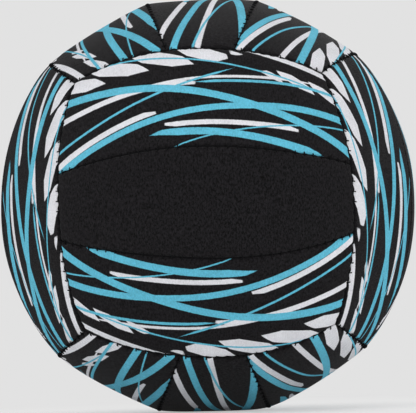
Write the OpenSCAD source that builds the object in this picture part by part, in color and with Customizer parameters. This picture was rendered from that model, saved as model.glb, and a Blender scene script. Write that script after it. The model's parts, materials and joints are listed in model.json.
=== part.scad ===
// Sewn ball of eighteen soft foam-rubber panels over an air bladder.
//
// The ball is a rounded cube: six faces of three strips each, and the strips of
// neighbouring faces run crosswise. The origin is the centre of the ball. The front
// face looks along -Y with its strips along X, the right face looks along +X with its
// strips along Z, and the top face looks along +Z with its strips along Y. The valve
// sits on +Y, in the middle of the back centre panel.

/* [Ball] */
// Diameter of the ball, blown up, between the dips and the ridges of its panels
ball_d = 210; // [180:1:230]

/* [Panel layout] */
// Angle that the three strips of a face take up across their middle
face_span = 92.8; // [91:0.2:96]
// Angle that a centre strip takes up across its middle
strip_span = 30.4; // [28:0.2:35]
// Angle that a centre strip takes up at its ends
strip_end_span = 18.2; // [16:0.2:22]

/* [Panel shape] */
// Thickness of the foam rubber with its knitted faces
skin_t = 3; // [2:0.1:4]
// How far the seams and corners between faces stand above the ball's diameter
edge_rise = 1.7; // [1.2:0.1:2.4]
// How far the seams between the strips of a face stand above it
strip_seam_rise = 0.9; // [0.6:0.1:1.2]
// How far the middle of a centre strip lies below it
centre_dip = 1.5; // [1:0.1:2.2]
// How far the middle of an outer strip lies below it
outer_dip = 1.2; // [0.8:0.1:1.8]

/* [Seams] */
// Radius with which the edge of a panel rolls down into a seam
roll_r = 3.2; // [2.6:0.1:3.6]
// Thickness of the turned-in seam allowance, pressed by the stitching
allowance_t = 2.6; // [2:0.1:3]
// Width left between the two panels of a seam
seam_gap = 0.2; // [0.1:0.05:0.4]
// Diameter of the sewing thread that shows in the seams
thread_d = 0.9; // [0.6:0.05:1.1]

/* [Bladder] */
// Thickness of the bladder's rubber
bladder_t = 0.8; // [0.6:0.1:1.5]

/* [Valve] */
// Diameter of the valve's neck, which shows in the back centre panel
valve_neck_d = 10; // [8:0.5:12]
// Diameter of the valve's flange, which is bonded to the bladder
valve_flange_d = 32; // [26:1:40]
// Thickness of that flange
valve_flange_t = 1.2; // [0.8:0.1:1.6]
// Diameter of the valve's stem inside the bladder
valve_stem_d = 14; // [13:0.5:18]
// Length of that stem, below the bladder's surface
valve_stem_h = 15; // [12:0.5:20]
// Diameter of the soft plug that closes on the needle
plug_d = 5; // [4:0.25:6]
// Diameter of the plug's head
plug_head_d = 7; // [6.5:0.25:7.5]
// Height of the plug's head
plug_head_h = 1.5; // [1:0.1:2.5]
// Diameter of the inflating needle's passage
needle_d = 2; // [1.5:0.1:2.4]
// Depth of that passage
needle_depth = 14; // [10:0.5:15]
// Diameter of the disc that stiffens the panel round the valve
patch_d = 40; // [34:1:44]
// Thickness of that disc
patch_t = 0.8; // [0.5:0.1:1.2]

/* [Hidden] */
$fn = 96;

neoprene_colour = "#262425";
thread_colour = "#0e0e10";
bladder_colour = "#3a3a3c";
valve_colour = "#1b1b1c";
patch_colour = "#55534f";

// Clearances
seat_gap = 0.1;      // between pieces that lie on each other
valve_gap = 0.2;     // round the valve's neck, and round its stem
thread_gap = 0.1;    // between a thread and the panels' rolled edges
thread_end_gap = 2;  // from the end of a thread to the seam or corner where it stops
neck_sink = 0.4;     // of the valve's face below the panel
edge_lift = 0.6;     // of a rolled edge's crest above the seam's own line

// The ball's own radii
ball_r = ball_d/2;
ridge_r = ball_r + edge_rise;
strip_seam_r = ball_r + strip_seam_rise;
centre_r = ball_r - centre_dip;
outer_r = ball_r - outer_dip;
patch_top_r = centre_r - skin_t - seat_gap;
bladder_r = patch_top_r - patch_t - valve_flange_t - 2*seat_gap;
reach = ball_r + 20;  // past every surface of the ball

// ---- The base face: it looks along +Z, and its strips run along X ----

function across(angle) = [0, sin(angle), cos(angle)];

face_angle = face_span/2;
strip_angle = strip_span/2;
outer_angle = (face_angle + strip_angle)/2;

corner = ridge_r*[1, 1, 1]/sqrt(3);
long_mid = ridge_r*across(face_angle);
end_mid = ridge_r*[cos(face_angle), 0, sin(face_angle)];
strip_seam_mid = strip_seam_r*across(strip_angle);
centre_mid = centre_r*across(0);
outer_mid = outer_r*across(outer_angle);

// An arc, from its middle point, one end and the direction of its chord
function arc(mid, end, chord) =
  let (half_chord = abs(end*chord),
       foot = end - (end*chord)*chord,
       rise = norm(mid - foot),
       up = (mid - foot)/rise,
       r = (half_chord^2 + rise^2)/(2*rise))
  [mid - r*up, r, up, chord, asin(half_chord/r)];
function arc_centre(a) = a[0];
function arc_r(a) = a[1];
function arc_up(a) = a[2];
function arc_chord(a) = a[3];
function arc_half(a) = a[4];
function arc_normal(a) = cross(arc_up(a), arc_chord(a));
function arc_point(a, angle) = arc_centre(a) + arc_r(a)*(cos(angle)*arc_up(a) + sin(angle)*arc_chord(a));

// The same arc, with its normal on the side where a point lies
function facing(a, point) =
  (point - arc_centre(a))*arc_normal(a) > 0 ? a
  : [arc_centre(a), arc_r(a), arc_up(a), -arc_chord(a), arc_half(a)];

function mirror_x(p) = [-p.x, p.y, p.z];
function mirror_y(p) = [p.x, -p.y, p.z];

end_edge = arc(end_mid, corner, [0, 1, 0]);
far_end_edge = arc(mirror_x(end_mid), mirror_x(corner), [0, 1, 0]);
long_edge = arc(long_mid, corner, [1, 0, 0]);
// The point of the end edge that lies at this angle above the strips' middle line
strip_end_angle = asin(ridge_r*sin(strip_end_span/2)/arc_r(end_edge));
strip_end = arc_point(end_edge, strip_end_angle);
outer_end = arc_point(end_edge, (strip_end_angle + arc_half(end_edge))/2);
strip_seam = arc(strip_seam_mid, strip_end, [1, 0, 0]);
low_strip_seam = arc(mirror_y(strip_seam_mid), mirror_y(strip_end), [1, 0, 0]);

centre_seams = [for (a = [strip_seam, low_strip_seam, end_edge, far_end_edge]) facing(a, centre_mid)];
outer_seams = [for (a = [strip_seam, long_edge, end_edge, far_end_edge]) facing(a, outer_mid)];

// Puts the X axis on the arc's middle, Y along its chord and Z along its normal
module at_arc(a) {
  x = arc_up(a);
  y = arc_chord(a);
  z = arc_normal(a);
  c = arc_centre(a);
  multmatrix([[x.x, y.x, z.x, c.x], [x.y, y.y, z.y, c.y], [x.z, y.z, z.z, c.z], [0, 0, 0, 1]]) children();
}

// The circle through three points of a plane: its centre and its radius
function circle_through(a, b, c) =
  let (d = 2*(a.x*(b.y - c.y) + b.x*(c.y - a.y) + c.x*(a.y - b.y)),
       x = (a*a*(b.y - c.y) + b*b*(c.y - a.y) + c*c*(a.y - b.y))/d,
       y = (a*a*(c.x - b.x) + b*b*(a.x - c.x) + c*c*(b.x - a.x))/d)
  [x, y, norm(a - [x, y])];

// The crown of a strip, down to the ball's middle: an arc along the strip, swept with a
// flatter arc across it, and kept inside the sphere of the ridges. depth is measured
// from the outside of the panel.
module crown(mid, end, side_a, side_b, depth) {
  spine = arc(mid, end, [1, 0, 0]);
  flat = [for (p = [side_a, mid, side_b]) let (q = p - arc_centre(spine)) [q*arc_up(spine), q*arc_normal(spine)]];
  c = circle_through(flat[0], flat[1], flat[2]);
  half_turn = 65;
  intersection() {
    at_arc(spine) rotate([0, 0, -half_turn]) rotate_extrude(angle = 2*half_turn) intersection() {
      translate([ball_r/3, -ball_r/2]) square([reach, ball_r]);
      translate([c.x, c.y]) circle(r = c[2] - depth);
    }
    sphere(r = ridge_r - depth);
  }
}
module centre_crown(depth) crown(centre_mid, end_mid, mirror_y(strip_seam_mid), strip_seam_mid, depth);
module outer_crown(depth) crown(outer_mid, outer_end, strip_seam_mid, long_mid, depth);

// All that lies on a panel's own side of a seam, rolled down towards it
module seam_side(a) {
  roll_x = arc_r(a) + edge_lift - roll_r;
  roll_y = seam_gap/2 + roll_r;
  at_arc(a) rotate_extrude() difference() {
    translate([0, seam_gap/2]) square([reach, reach]);
    difference() {
      translate([roll_x, 0]) square([reach, roll_y]);
      translate([roll_x, roll_y]) circle(r = roll_r);
    }
  }
}

// All that lies further from a seam than the turned-in allowance
module past_allowance(a) at_arc(a) translate([-reach, -reach, seam_gap/2 + allowance_t]) cube(2*reach);

// A panel: child 0 is its crown, child 1 the same crown under its skin
module panel(seams) {
  difference() {
    intersection() {
      children(0);
      seam_side(seams[0]);
      seam_side(seams[1]);
      seam_side(seams[2]);
      seam_side(seams[3]);
    }
    intersection() {
      children(1);
      past_allowance(seams[0]);
      past_allowance(seams[1]);
      past_allowance(seams[2]);
      past_allowance(seams[3]);
    }
    sphere(r = bladder_r + seat_gap);
  }
}
module centre_panel() color(neoprene_colour) panel(centre_seams) {
  centre_crown(0);
  centre_crown(skin_t);
}
module outer_panel() color(neoprene_colour) panel(outer_seams) {
  outer_crown(0);
  outer_crown(skin_t);
}
module valve_panel() color(neoprene_colour) difference() {
  centre_panel();
  cylinder(d = valve_neck_d + 2*valve_gap, h = reach);
}

// The thread in one seam: it lies between the two rolled edges
module thread(a) {
  thread_r = thread_d/2;
  drop = sqrt((roll_r + thread_r + thread_gap)^2 - (roll_r + seam_gap/2)^2);
  x = arc_r(a) + edge_lift - roll_r + drop;
  half = arc_half(a) - thread_end_gap/arc_r(a)*180/PI;
  color(thread_colour) at_arc(a) rotate([0, 0, -half]) rotate_extrude(angle = 2*half)
    translate([x, 0]) circle(r = thread_r, $fn = 24);
}
module strip_thread() {
  thread(strip_seam);
  thread(low_strip_seam);
}
module edge_thread() {
  thread(end_edge);
  thread(far_end_edge);
}

// ---- The six faces, each turned from the base face ----

module on_front() rotate([90, 0, 0]) children();
module on_back() rotate([0, 0, 180]) on_front() children();
module on_bottom() rotate(120, [1, 1, 1]) on_front() children();
module on_top() rotate(120, [1, 1, 1]) on_back() children();
module on_left() rotate(240, [1, 1, 1]) on_front() children();
module on_right() rotate(240, [1, 1, 1]) on_back() children();
module other_way() rotate([0, 0, 180]) children();

// ---- Bladder and valve, built along +Z ----

module bladder() color(bladder_colour) on_back() difference() {
  sphere(r = bladder_r);
  sphere(r = bladder_r - bladder_t);
  cylinder(d = valve_stem_d + 2*valve_gap, h = reach);
}

neck_top = centre_r - neck_sink;
stem_bottom = bladder_r - valve_stem_h;

module valve_body() color(valve_colour) on_back() difference() {
  union() {
    intersection() {
      cylinder(d = valve_flange_d, h = reach);
      difference() {
        sphere(r = bladder_r + seat_gap + valve_flange_t);
        sphere(r = bladder_r + seat_gap);
      }
    }
    translate([0, 0, stem_bottom]) cylinder(d = valve_stem_d, h = bladder_r + valve_flange_t/2 - stem_bottom);
    translate([0, 0, stem_bottom]) cylinder(d = valve_neck_d, h = neck_top - stem_bottom);
  }
  translate([0, 0, stem_bottom - 1]) cylinder(d = plug_d + seat_gap, h = reach);
  translate([0, 0, neck_top - plug_head_h]) cylinder(d = plug_head_d + seat_gap, h = reach);
}

module valve_plug() color(valve_colour) on_back() difference() {
  union() {
    translate([0, 0, stem_bottom]) cylinder(d = plug_d, h = neck_top - stem_bottom - plug_head_h + seat_gap);
    translate([0, 0, neck_top - plug_head_h + seat_gap/2])
      cylinder(d = plug_head_d, h = plug_head_h - seat_gap/2);
  }
  translate([0, 0, neck_top - needle_depth]) cylinder(d = needle_d, h = reach);
}

module valve_patch() color(patch_colour) on_back() difference() {
  intersection() {
    cylinder(d = patch_d, h = reach);
    difference() {
      centre_crown(skin_t + seat_gap);
      centre_crown(skin_t + seat_gap + patch_t);
    }
  }
  cylinder(d = valve_neck_d + 2*valve_gap, h = reach);
}

on_front() centre_panel();  // front_centre_panel
on_front() outer_panel();  // front_upper_panel
on_front() other_way() outer_panel();  // front_lower_panel
on_back() valve_panel();  // back_centre_panel
on_back() outer_panel();  // back_upper_panel
on_back() other_way() outer_panel();  // back_lower_panel
on_left() centre_panel();  // left_centre_panel
on_left() outer_panel();  // left_back_panel
on_left() other_way() outer_panel();  // left_front_panel
on_right() centre_panel();  // right_centre_panel
on_right() outer_panel();  // right_back_panel
on_right() other_way() outer_panel();  // right_front_panel
on_top() centre_panel();  // top_centre_panel
on_top() outer_panel();  // top_right_panel
on_top() other_way() outer_panel();  // top_left_panel
on_bottom() centre_panel();  // bottom_centre_panel
on_bottom() outer_panel();  // bottom_right_panel
on_bottom() other_way() outer_panel();  // bottom_left_panel
on_front() strip_thread();  // front_strip_thread
on_back() strip_thread();  // back_strip_thread
on_left() strip_thread();  // left_strip_thread
on_right() strip_thread();  // right_strip_thread
on_top() strip_thread();  // top_strip_thread
on_bottom() strip_thread();  // bottom_strip_thread
on_front() edge_thread();  // front_edge_thread
on_back() edge_thread();  // back_edge_thread
on_left() edge_thread();  // left_edge_thread
on_right() edge_thread();  // right_edge_thread
on_top() edge_thread();  // top_edge_thread
on_bottom() edge_thread();  // bottom_edge_thread
bladder();
valve_body();
valve_plug();
valve_patch();
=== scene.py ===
"""A soft sewn ball: eighteen foam-rubber panels, the stitches in their seams, and a valve."""

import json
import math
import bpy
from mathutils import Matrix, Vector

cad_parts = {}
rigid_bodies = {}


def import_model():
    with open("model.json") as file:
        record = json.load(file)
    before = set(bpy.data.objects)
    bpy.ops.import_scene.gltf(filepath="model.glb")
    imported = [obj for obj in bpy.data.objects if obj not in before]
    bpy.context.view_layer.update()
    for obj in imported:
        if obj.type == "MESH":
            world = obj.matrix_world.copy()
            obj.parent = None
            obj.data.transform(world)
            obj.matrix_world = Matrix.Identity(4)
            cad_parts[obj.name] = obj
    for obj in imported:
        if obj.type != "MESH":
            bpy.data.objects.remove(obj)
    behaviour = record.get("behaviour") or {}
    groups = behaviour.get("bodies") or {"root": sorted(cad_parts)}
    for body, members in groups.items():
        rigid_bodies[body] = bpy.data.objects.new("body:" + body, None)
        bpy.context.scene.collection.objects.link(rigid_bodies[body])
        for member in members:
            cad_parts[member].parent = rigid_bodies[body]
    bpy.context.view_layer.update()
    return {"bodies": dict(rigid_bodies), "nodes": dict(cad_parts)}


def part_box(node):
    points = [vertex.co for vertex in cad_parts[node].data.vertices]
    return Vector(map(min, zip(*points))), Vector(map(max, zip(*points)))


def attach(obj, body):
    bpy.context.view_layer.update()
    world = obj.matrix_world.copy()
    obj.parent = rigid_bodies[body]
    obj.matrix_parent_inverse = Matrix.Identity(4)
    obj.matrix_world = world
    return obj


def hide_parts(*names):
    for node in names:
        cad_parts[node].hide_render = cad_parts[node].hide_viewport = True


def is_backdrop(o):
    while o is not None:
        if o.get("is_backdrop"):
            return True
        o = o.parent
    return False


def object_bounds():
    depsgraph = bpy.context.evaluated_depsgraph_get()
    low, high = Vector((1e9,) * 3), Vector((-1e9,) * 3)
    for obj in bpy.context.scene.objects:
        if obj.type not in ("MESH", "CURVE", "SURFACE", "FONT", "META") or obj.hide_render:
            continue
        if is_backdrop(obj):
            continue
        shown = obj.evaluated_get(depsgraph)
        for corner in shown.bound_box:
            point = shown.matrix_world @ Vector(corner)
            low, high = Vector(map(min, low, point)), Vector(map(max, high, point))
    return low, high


bl_info = {
    "name": "Soft Sewn Ball",
    "version": (1, 0, 0),
    "blender": (4, 5, 0),
    "location": "View3D > Sidebar > Sewn Ball",
    "description": "Makes the panels, stitches, valve and studio of a soft sewn ball",
    "category": "Object",
}

from collections import namedtuple

import bpy
import numpy as np
from bpy.props import FloatProperty, FloatVectorProperty, IntProperty, PointerProperty
from mathutils import Matrix, Vector

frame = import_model()
BODY = next(iter(frame["bodies"]))
MM = 0.001

CENTRE_DIP = 1.5 * MM
CENTRE_DEPTH = -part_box("bottom_centre_panel")[0].z
VALVE_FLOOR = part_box("valve_body")[0].y
VALVE_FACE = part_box("valve_body")[1].y
VALVE_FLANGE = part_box("valve_body")[1].x
PLUG_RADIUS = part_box("valve_plug")[1].x
BLADDER_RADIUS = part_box("bladder")[1].x
VALVE_PANEL = "back_centre_panel"

# The six faces, each with the names of the strips on the two sides of its centre strip
FACES = {
    "front": ("upper", "lower"),
    "back": ("upper", "lower"),
    "left": ("back", "front"),
    "right": ("back", "front"),
    "top": ("right", "left"),
    "bottom": ("right", "left"),
}

# Which way round the print lies on each face, along its strips
PRINT_FLIPS = {"front": 1, "back": 1, "left": 1, "right": -1, "top": -1, "bottom": 1}


# ---- Sizes and colours that a user would change ----


def length_property(name, description, millimetres):
    """A length that a user would change."""
    return FloatProperty(name=name, description=description, default=millimetres * MM, unit="LENGTH")


def angle_property(name, description, degrees):
    """An angle that a user would change."""
    return FloatProperty(name=name, description=description, default=math.radians(degrees), subtype="ANGLE")


def colour_property(name, description, default):
    """A colour that a user would change."""
    return FloatVectorProperty(
        name=name, description=description, default=default, size=3, min=0, max=1, subtype="COLOR"
    )


class BallShape(bpy.types.PropertyGroup):
    diameter: length_property(
        "Diameter", "Diameter of the ball, between the dips and the ridges of its panels",
        2 * (CENTRE_DEPTH + CENTRE_DIP) / MM,
    )
    face_span: angle_property("Face Span", "Angle that a face's three strips take up in the middle", 92.8)
    strip_span: angle_property("Strip Span", "Angle that a centre strip takes up across its middle", 30.4)
    strip_end_span: angle_property("Strip End Span", "Angle that a centre strip takes up at its ends", 18.2)
    edge_rise: length_property("Edge Rise", "How far the seams between faces stand above the diameter", 1.7)
    strip_seam_rise: length_property(
        "Strip Seam Rise", "How far the seams between a face's strips stand above the diameter", 0.9
    )
    centre_dip: length_property(
        "Centre Dip", "How far a centre strip's middle lies below the diameter", CENTRE_DIP / MM
    )
    outer_dip: length_property("Outer Dip", "How far an outer strip's middle lies below the diameter", 1.2)
    roll: length_property("Edge Roll", "Radius with which a panel's edge rolls down into a seam", 1.7)
    skin: length_property("Skin Thickness", "Thickness of the foam rubber with its knitted faces", 3.0)
    allowance_depth: length_property(
        "Allowance Depth", "Depth of the turned-in seam allowance, from the outside of the panel", 5.0
    )
    allowance_width: length_property("Allowance Thickness", "Thickness of the seam allowance", 2.6)
    pucker: length_property("Pucker Depth", "How deep the stitches pull the cloth in, beside a seam", 0.36)
    valve_hole: length_property("Valve Hole", "Radius of the hole for the valve's neck", 5.2)
    valve_dimple: length_property("Valve Dimple", "How deep the cloth is drawn in round the valve", 0.25)
    unevenness: length_property("Unevenness", "How far the blown-up skin strays from its even shape", 0.22)


class StitchShape(bpy.types.PropertyGroup):
    pitch: length_property("Stitch Pitch", "Distance from one bridging stitch to the next", 5.0)
    thread: length_property("Thread Diameter", "Diameter of the sewing thread", 0.65)
    reach: length_property("Stitch Reach", "How far a stitch reaches to each side of its seam", 1.3)
    arch: length_property("Stitch Arch", "Height of a stitch over the places where it goes in", 0.62)
    sunk: length_property("Stitch Depth", "How deep below the seam's crest a stitch goes in", 0.85)
    end_gap: length_property(
        "End Gap", "From the end of a seam's thread to the seam or corner where it stops", 3.4
    )
    cord: length_property("Cord Diameter", "Diameter of the cord of twisted threads in a seam", 0.75)
    cord_depth: length_property("Cord Depth", "Depth of a seam's cord, where it shows beside a stitch", 0.8)
    cord_dip: length_property("Cord Dip", "How much deeper a seam's cord lies between two stitches", 0.8)
    seed: IntProperty(
        name="Seed", description="Seed of the small differences between stitches", default=4, min=0
    )


class BallColours(bpy.types.PropertyGroup):
    cloth: colour_property("Cloth", "Colour of the plain knitted cloth", (0.0088, 0.0081, 0.0091))
    blue: colour_property("Blue Print", "Colour of the print's blue ribbons", (0.116, 0.470, 0.625))
    white: colour_property("White Print", "Colour of the white ribbons and leaves", (0.72, 0.72, 0.755))
    thread: colour_property("Thread", "Colour of the sewing thread", (0.0015, 0.0015, 0.0018))
    rubber: colour_property("Rubber", "Colour of the valve's rubber", (0.016, 0.016, 0.017))
    studio: colour_property("Studio", "Colour that the floor and the backdrop show", (0.76, 0.76, 0.76))


class BallStudio(bpy.types.PropertyGroup):
    distance: length_property("Camera Distance", "From the camera to the middle of the ball", 2337)
    lens: FloatProperty(
        name="Lens", description="Focal length of the camera, in millimetres", default=402.6, unit="CAMERA"
    )
    roll: angle_property("Roll", "How far the ball is rolled in the view", -1.77)
    pitch: angle_property("Pitch", "How far the ball is tipped in the view", -1.31)
    yaw: angle_property("Yaw", "How far the ball is turned in the view", -1.44)


def settings():
    """The scene's own copy of the sizes, colours and studio settings."""
    scene = bpy.context.scene
    return scene.ball_shape, scene.ball_stitches, scene.ball_colours, scene.ball_studio


# ---- The layout of the seams, on the base face: it looks along +Z, its strips run along X ----


class Arc:
    """An arc in its own plane, from its middle point, one end and the direction of its chord."""

    def __init__(self, middle, end, chord):
        self.chord = np.array(chord, float)
        half_chord = abs(end @ self.chord)
        foot = end - (end @ self.chord) * self.chord
        rise = np.linalg.norm(middle - foot)
        self.up = (middle - foot) / rise
        self.radius = (half_chord**2 + rise**2) / (2 * rise)
        self.centre = middle - self.radius * self.up
        self.half = math.asin(half_chord / self.radius)
        self.normal = np.cross(self.up, self.chord)

    def at(self, angle):
        """The points at these angles from the arc's middle."""
        angle = np.asarray(angle)[..., None]
        return self.centre + self.radius * (np.cos(angle) * self.up + np.sin(angle) * self.chord)

    def beside(self, points):
        """How far the points lie from the arc's plane, and how far along the arc from its middle."""
        off = points - self.centre
        along = self.radius * np.arctan2(off @ self.chord, off @ self.up)
        return np.abs(off @ self.normal), along


def circle_through(points):
    """The centre and the radius of the circle through three points of a plane."""
    (ax, ay), (bx, by), (cx, cy) = points
    aa, bb, cc = (x * x + y * y for x, y in points)
    determinant = 2 * (ax * (by - cy) + bx * (cy - ay) + cx * (ay - by))
    x = (aa * (by - cy) + bb * (cy - ay) + cc * (ay - by)) / determinant
    y = (aa * (cx - bx) + bb * (ax - cx) + cc * (bx - ax)) / determinant
    return x, y, math.hypot(ax - x, ay - y)


class Crown:
    """The outside of a strip: an arc across it, swept along a longer arc, inside the ridge sphere."""

    # How softly the swept arc runs into the sphere, and how its reach is searched for: how far to
    # each side of the sphere, as a share of its radius, and how often that range is halved
    BLEND = 0.3 * MM
    SEARCH_SHARE = 0.1
    HALVINGS = 30

    def __init__(self, middle, end, side_a, side_b, ridge_radius):
        self.spine = Arc(middle, end, (1, 0, 0))
        self.x, self.y, self.radius = circle_through([self.flatten(p) for p in (side_a, middle, side_b)])
        self.ridge_radius = ridge_radius

    def flatten(self, point):
        """Where the point lies in the plane across the spine's middle."""
        off = point - self.spine.centre
        return off @ self.spine.up, off @ self.spine.normal

    def reach(self, directions):
        """How far the crown lies from the ball's centre in these directions."""
        low = np.full(directions.shape[:-1], (1 - self.SEARCH_SHARE) * self.ridge_radius)
        high = np.full(directions.shape[:-1], (1 + self.SEARCH_SHARE) * self.ridge_radius)
        for _ in range(self.HALVINGS):
            middle = (low + high) / 2
            off = directions * middle[..., None] - self.spine.centre
            out = np.hypot(off @ self.spine.up, off @ self.spine.chord)
            inside = np.hypot(out - self.x, off @ self.spine.normal - self.y) < self.radius
            low = np.where(inside, middle, low)
            high = np.where(inside, high, middle)
        gap = (self.ridge_radius - low) / self.BLEND
        return low - self.BLEND * np.logaddexp(0, -gap)


def across(angle):
    """The direction in the plane across the strips, at this angle from the face's middle."""
    return np.array([0, math.sin(angle), math.cos(angle)])


def flip_x(point):
    return point * np.array([-1, 1, 1])


def flip_y(point):
    return point * np.array([1, -1, 1])


class Layout:
    """The seams and crowns of the base face, from the ball's sizes."""

    def __init__(self, shape):
        radius = shape.diameter / 2
        face, strip = shape.face_span / 2, shape.strip_span / 2
        ridge = radius + shape.edge_rise
        corner = ridge * np.ones(3) / math.sqrt(3)
        end_mid = ridge * np.array([math.cos(face), 0, math.sin(face)])
        long_mid = ridge * across(face)
        seam_mid = (radius + shape.strip_seam_rise) * across(strip)
        self.outer_angle = (face + strip) / 2
        self.end_edge = Arc(end_mid, corner, (0, 1, 0))
        self.far_end_edge = Arc(flip_x(end_mid), flip_x(corner), (0, 1, 0))
        self.long_edge = Arc(long_mid, corner, (1, 0, 0))
        self.strip_end_angle = math.asin(ridge * math.sin(shape.strip_end_span / 2) / self.end_edge.radius)
        strip_end = self.end_edge.at(self.strip_end_angle)
        outer_end = self.end_edge.at((self.strip_end_angle + self.end_edge.half) / 2)
        self.strip_seam = Arc(seam_mid, strip_end, (1, 0, 0))
        self.low_strip_seam = Arc(flip_y(seam_mid), flip_y(strip_end), (1, 0, 0))
        centre_top = (radius - shape.centre_dip) * across(0)
        outer_top = (radius - shape.outer_dip) * across(self.outer_angle)
        self.centre_crown = Crown(centre_top, end_mid, flip_y(seam_mid), seam_mid, ridge)
        self.outer_crown = Crown(outer_top, outer_end, seam_mid, long_mid, ridge)


FRONT = Matrix.Rotation(math.radians(90), 3, "X")
HALF_TURN = Matrix.Rotation(math.radians(180), 3, "Z")
THIRD_TURN = Matrix.Rotation(math.radians(120), 3, Vector((1, 1, 1)))
FACE_TURNS = {
    "front": FRONT,
    "back": HALF_TURN @ FRONT,
    "bottom": THIRD_TURN @ FRONT,
    "top": THIRD_TURN @ HALF_TURN @ FRONT,
    "left": THIRD_TURN @ THIRD_TURN @ FRONT,
    "right": THIRD_TURN @ THIRD_TURN @ HALF_TURN @ FRONT,
}

# Where the sewing has pulled the seams off their arcs, and how far to the right and up, as seen from
# the front, in millimetres
SEAM_PULLS = [
    ((-1, -1, 1), (-1.0, 0.0)),
    ((1, -1, 1), (-2.0, 2.5)),
    ((1, -1, -1), (1.0, 0.0)),
    ((-1, -1, 0), (2.0, 0.0)),
    ((0, -1, 1), (0.5, -1.0)),
    ((0.6, -1, 1), (0.0, -1.5)),
    ((0, -0.4, 1), (1.0, 0.0)),
    ((-0.3, -1, -1), (2.5, 1.0)),
    ((-0.6, -1, 0.3), (0.0, -1.5)),
    ((0.5, -1, 0.3), (0.0, -1.5)),
    ((-0.4, -1, -0.3), (0.0, 1.0)),
    ((0.3, -1, -0.3), (0.0, -1.0)),
]
# How far round the ball a pull is felt, as a share of its radius
PULL_REACH = 0.4


def fading(distance, reach):
    """1 at no distance, falling off smoothly over this reach."""
    return np.exp(-((distance / reach) ** 2))


def lengths(vectors):
    """The lengths of an array of vectors, which keeps its number of axes."""
    return np.linalg.norm(vectors, axis=-1, keepdims=True)


def pulled(points):
    """The points, moved along the ball as the sewing has pulled them."""
    reach = lengths(points)
    directions = points / reach
    shift = np.zeros(points.shape)
    for place, (right, up) in SEAM_PULLS:
        place = np.array(place) / np.linalg.norm(place)
        depth = -(right * place[0] + up * place[2]) / place[1]
        near = fading(lengths(directions - place), PULL_REACH)
        shift += near * np.array((right, depth, up)) * MM
    shift -= (shift * directions).sum(-1, keepdims=True) * directions
    moved = points + shift
    return moved / lengths(moved) * reach


# ---- Meshes and pieces ----


def new_mesh(name, points, edges, faces):
    """A new mesh from its points, edges and faces."""
    mesh = bpy.data.meshes.new(name)
    mesh.from_pydata(points, edges, faces)
    mesh.update()
    return mesh


def new_object(name, data):
    """A new object in the scene."""
    made = bpy.data.objects.new(name, data)
    bpy.context.scene.collection.objects.link(made)
    return made


def dress(mesh, material):
    """Gives the mesh this material and no other."""
    mesh.materials.clear()
    mesh.materials.append(material)


def finished(name, mesh, node, material):
    """Makes the piece, hides the CAD node that it stands for, and lets it ride on the ball."""
    dress(mesh, material)
    piece = new_object(name, mesh)
    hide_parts(node)
    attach(piece, BODY)
    return piece


# ---- Panels ----

# Cells along a panel and across it, how many of them the back takes for one, and the grid lines on
# the rolled edge
PANEL_COLUMNS = 160
PANEL_ROWS = 64
BACK_STEP = 4
EDGE_ROWS = 7
# Half the gap between two panels
SEAM_CLEARANCE = 0.05 * MM
# About how much longer a strip is along its arc than straight between its ends
ARC_SHARE = 1.1
# How many times as deep the back is set in across a strip, since a strip narrows to its ends
NARROWING = 1.4
# The valve's hole: cells from its middle to its rim, how many times as far the grid is bent round it,
# the width of its rounded rim, and the rim's steps, in shares of that width, inwards and down
HOLE_CELLS = 4
HOLE_BLEND = 3
HOLE_CHAMFER = 0.5 * MM
HOLE_ROUNDING = [(0.7, 0.3), (1.0, 1.0)]
# How far from the hole's middle the cloth is drawn in, as a multiple of the hole's radius
DIMPLE_REACH = 2
# How far from a seam the stitches pucker the cloth, how sharp their wave is, how far the seam as a
# whole draws it in, by what share of a pucker, and the most puckers' depths that all may add up to
PUCKER_REACH = 1.9 * MM
PUCKER_SHARPNESS = 1.5
DRAWN_REACH = 5 * MM
DRAWN_SHARE = 0.35
DEEPEST_PULL = 1.3
# Where two seams meet, the drops of both edges are joined by this power
CORNER_POWER = 4
# The swell of the blown-up skin: its waves, their shortest and longest lengths in millimetres, its
# seed, and how far from a seam it has its full height
SWELL_WAVES = 9
SWELL_LENGTHS = (28, 75)
SWELL_SEED = 3
SWELL_FULL = 8 * MM
# Each panel also bulges or sinks by its own share of the unevenness: the step that spreads the shares
# evenly, and how far from a seam a bulge has its full height
BULGE_STEP = 0.618
BULGE_FULL = 20 * MM
# Radius of the ball on which the cloth is laid flat, in millimetres
CLOTH_RADIUS = 105


def spread(count, roll):
    """How far the grid lines on a rolled edge lie from its seam, and where the others lie between.

    The lines on the edge lie in even steps of the angle that it has rolled over.
    """
    angles = np.linspace(0, math.pi / 2, EDGE_ROWS)
    edge = SEAM_CLEARANCE + roll * (1 - np.cos(angles))
    inner = np.linspace(0, 1, count + 1 - 2 * (EDGE_ROWS - 1))
    return edge, inner


def shares(edge, inner, length):
    """The grid lines' places between 0 and 1 over a stretch of this length, which may vary."""
    low = edge / length[..., None]
    middle = low[..., -1:] + inner * (1 - 2 * low[..., -1:])
    return np.concatenate([low[..., :-1], middle, 1 - low[..., -2::-1]], axis=-1)


def opened(points, cells, radius):
    """The grid's points, with its middle cells, so many each way, spread to a round hole."""
    rows, columns = points.shape[0] // 2, points.shape[1] // 2
    row = np.abs(np.arange(points.shape[0]) - rows)[:, None]
    column = np.abs(np.arange(points.shape[1]) - columns)[None, :]
    away = np.maximum(row, column) / cells
    share = np.clip((away - 1) / (HOLE_BLEND - 1), 0, 1)[..., None]
    share = share * share * (3 - 2 * share)
    flat = points[..., :2]
    outward = flat / np.maximum(lengths(flat), 1e-9)
    spread_out = np.concatenate([outward * radius * away[..., None], points[..., 2:]], axis=-1)
    return (1 - share) * spread_out + share * points


def middle_block(grid, cells):
    """The grid's middle cells, so many each way."""
    rows, columns = grid.shape[0] // 2, grid.shape[1] // 2
    return grid[rows - cells:rows + cells + 1, columns - cells:columns + cells + 1]


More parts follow.
